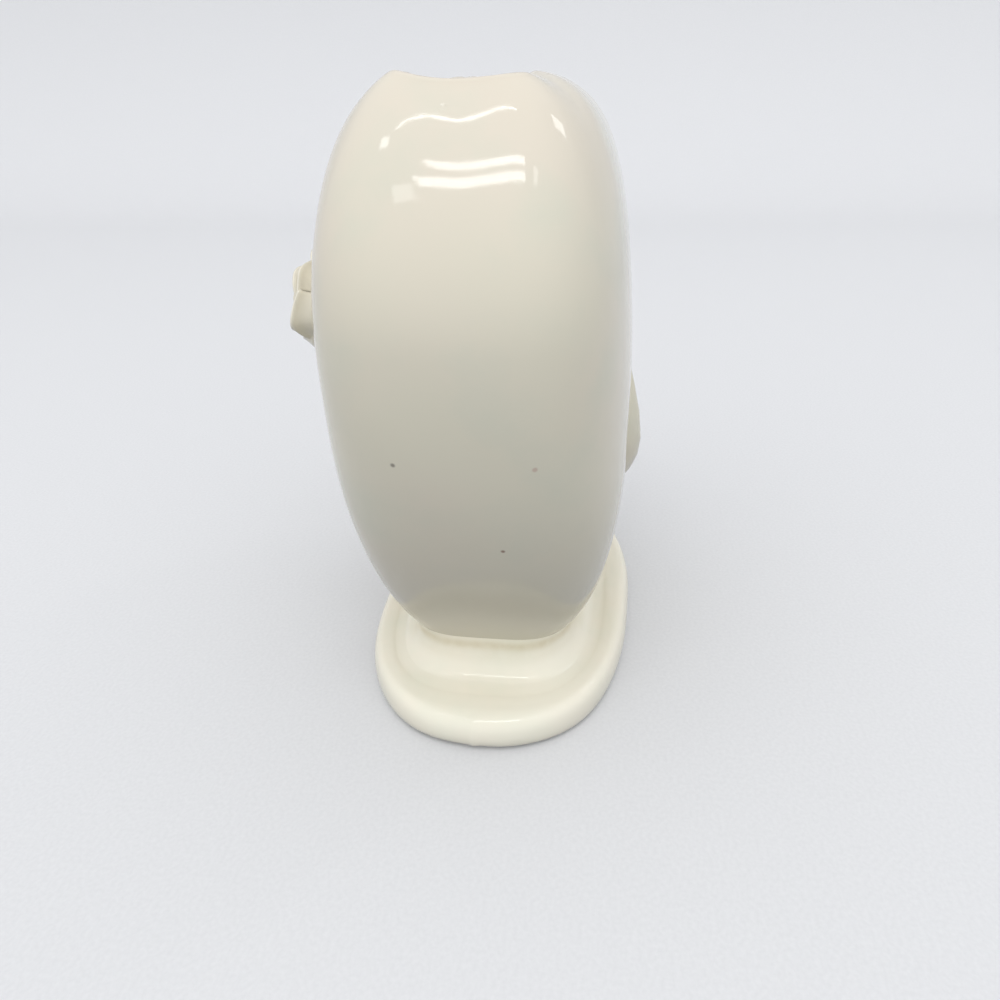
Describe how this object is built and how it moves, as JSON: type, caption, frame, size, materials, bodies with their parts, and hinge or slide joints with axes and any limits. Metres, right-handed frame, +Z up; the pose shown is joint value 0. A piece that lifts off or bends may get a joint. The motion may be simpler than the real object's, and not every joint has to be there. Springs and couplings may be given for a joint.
{
  "type": "heart-shaped vase",
  "caption": "Heart-shaped ivory glazed ceramic flower vase on an oval pedestal foot, with an applied rose spray in front and a leaf sprig behind.",
  "frame": {"origin": "under the middle of the overall box, on the plane that the foot ring stands on", "axes": "+X across the heart's width, -Y out of the front face with the rose, +Y out of the rear face, +Z up"},
  "size_m": [0.1672, 0.091, 0.1715],
  "materials": {
    "body_glaze": "glossy ivory glaze",
    "foot_glaze": "glossy cream glaze",
    "petal_glaze": "glossy cream glaze",
    "leaf_glaze": "glossy cream glaze"
  },
  "bodies": {
    "root": {"body_front_shell": "body_glaze", "body_rear_shell": "body_glaze", "pedestal_foot": "foot_glaze", "front_rose_bud": "petal_glaze", "front_rose_inner_petal_1": "petal_glaze", "front_rose_inner_petal_2": "petal_glaze", "front_rose_inner_petal_3": "petal_glaze", "front_rose_outer_petal_1": "petal_glaze", "front_rose_outer_petal_2": "petal_glaze", "front_rose_outer_petal_3": "petal_glaze", "front_rose_outer_petal_4": "petal_glaze", "front_rose_outer_petal_5": "petal_glaze", "front_stem": "leaf_glaze", "rear_stem": "leaf_glaze", "front_leaf_upper": "leaf_glaze", "front_leaf_lower": "leaf_glaze", "front_leaf_end": "leaf_glaze", "rear_leaf_end": "leaf_glaze", "rear_leaf_upper": "leaf_glaze", "rear_leaf_lower": "leaf_glaze"}
  },
  "joints": []
}
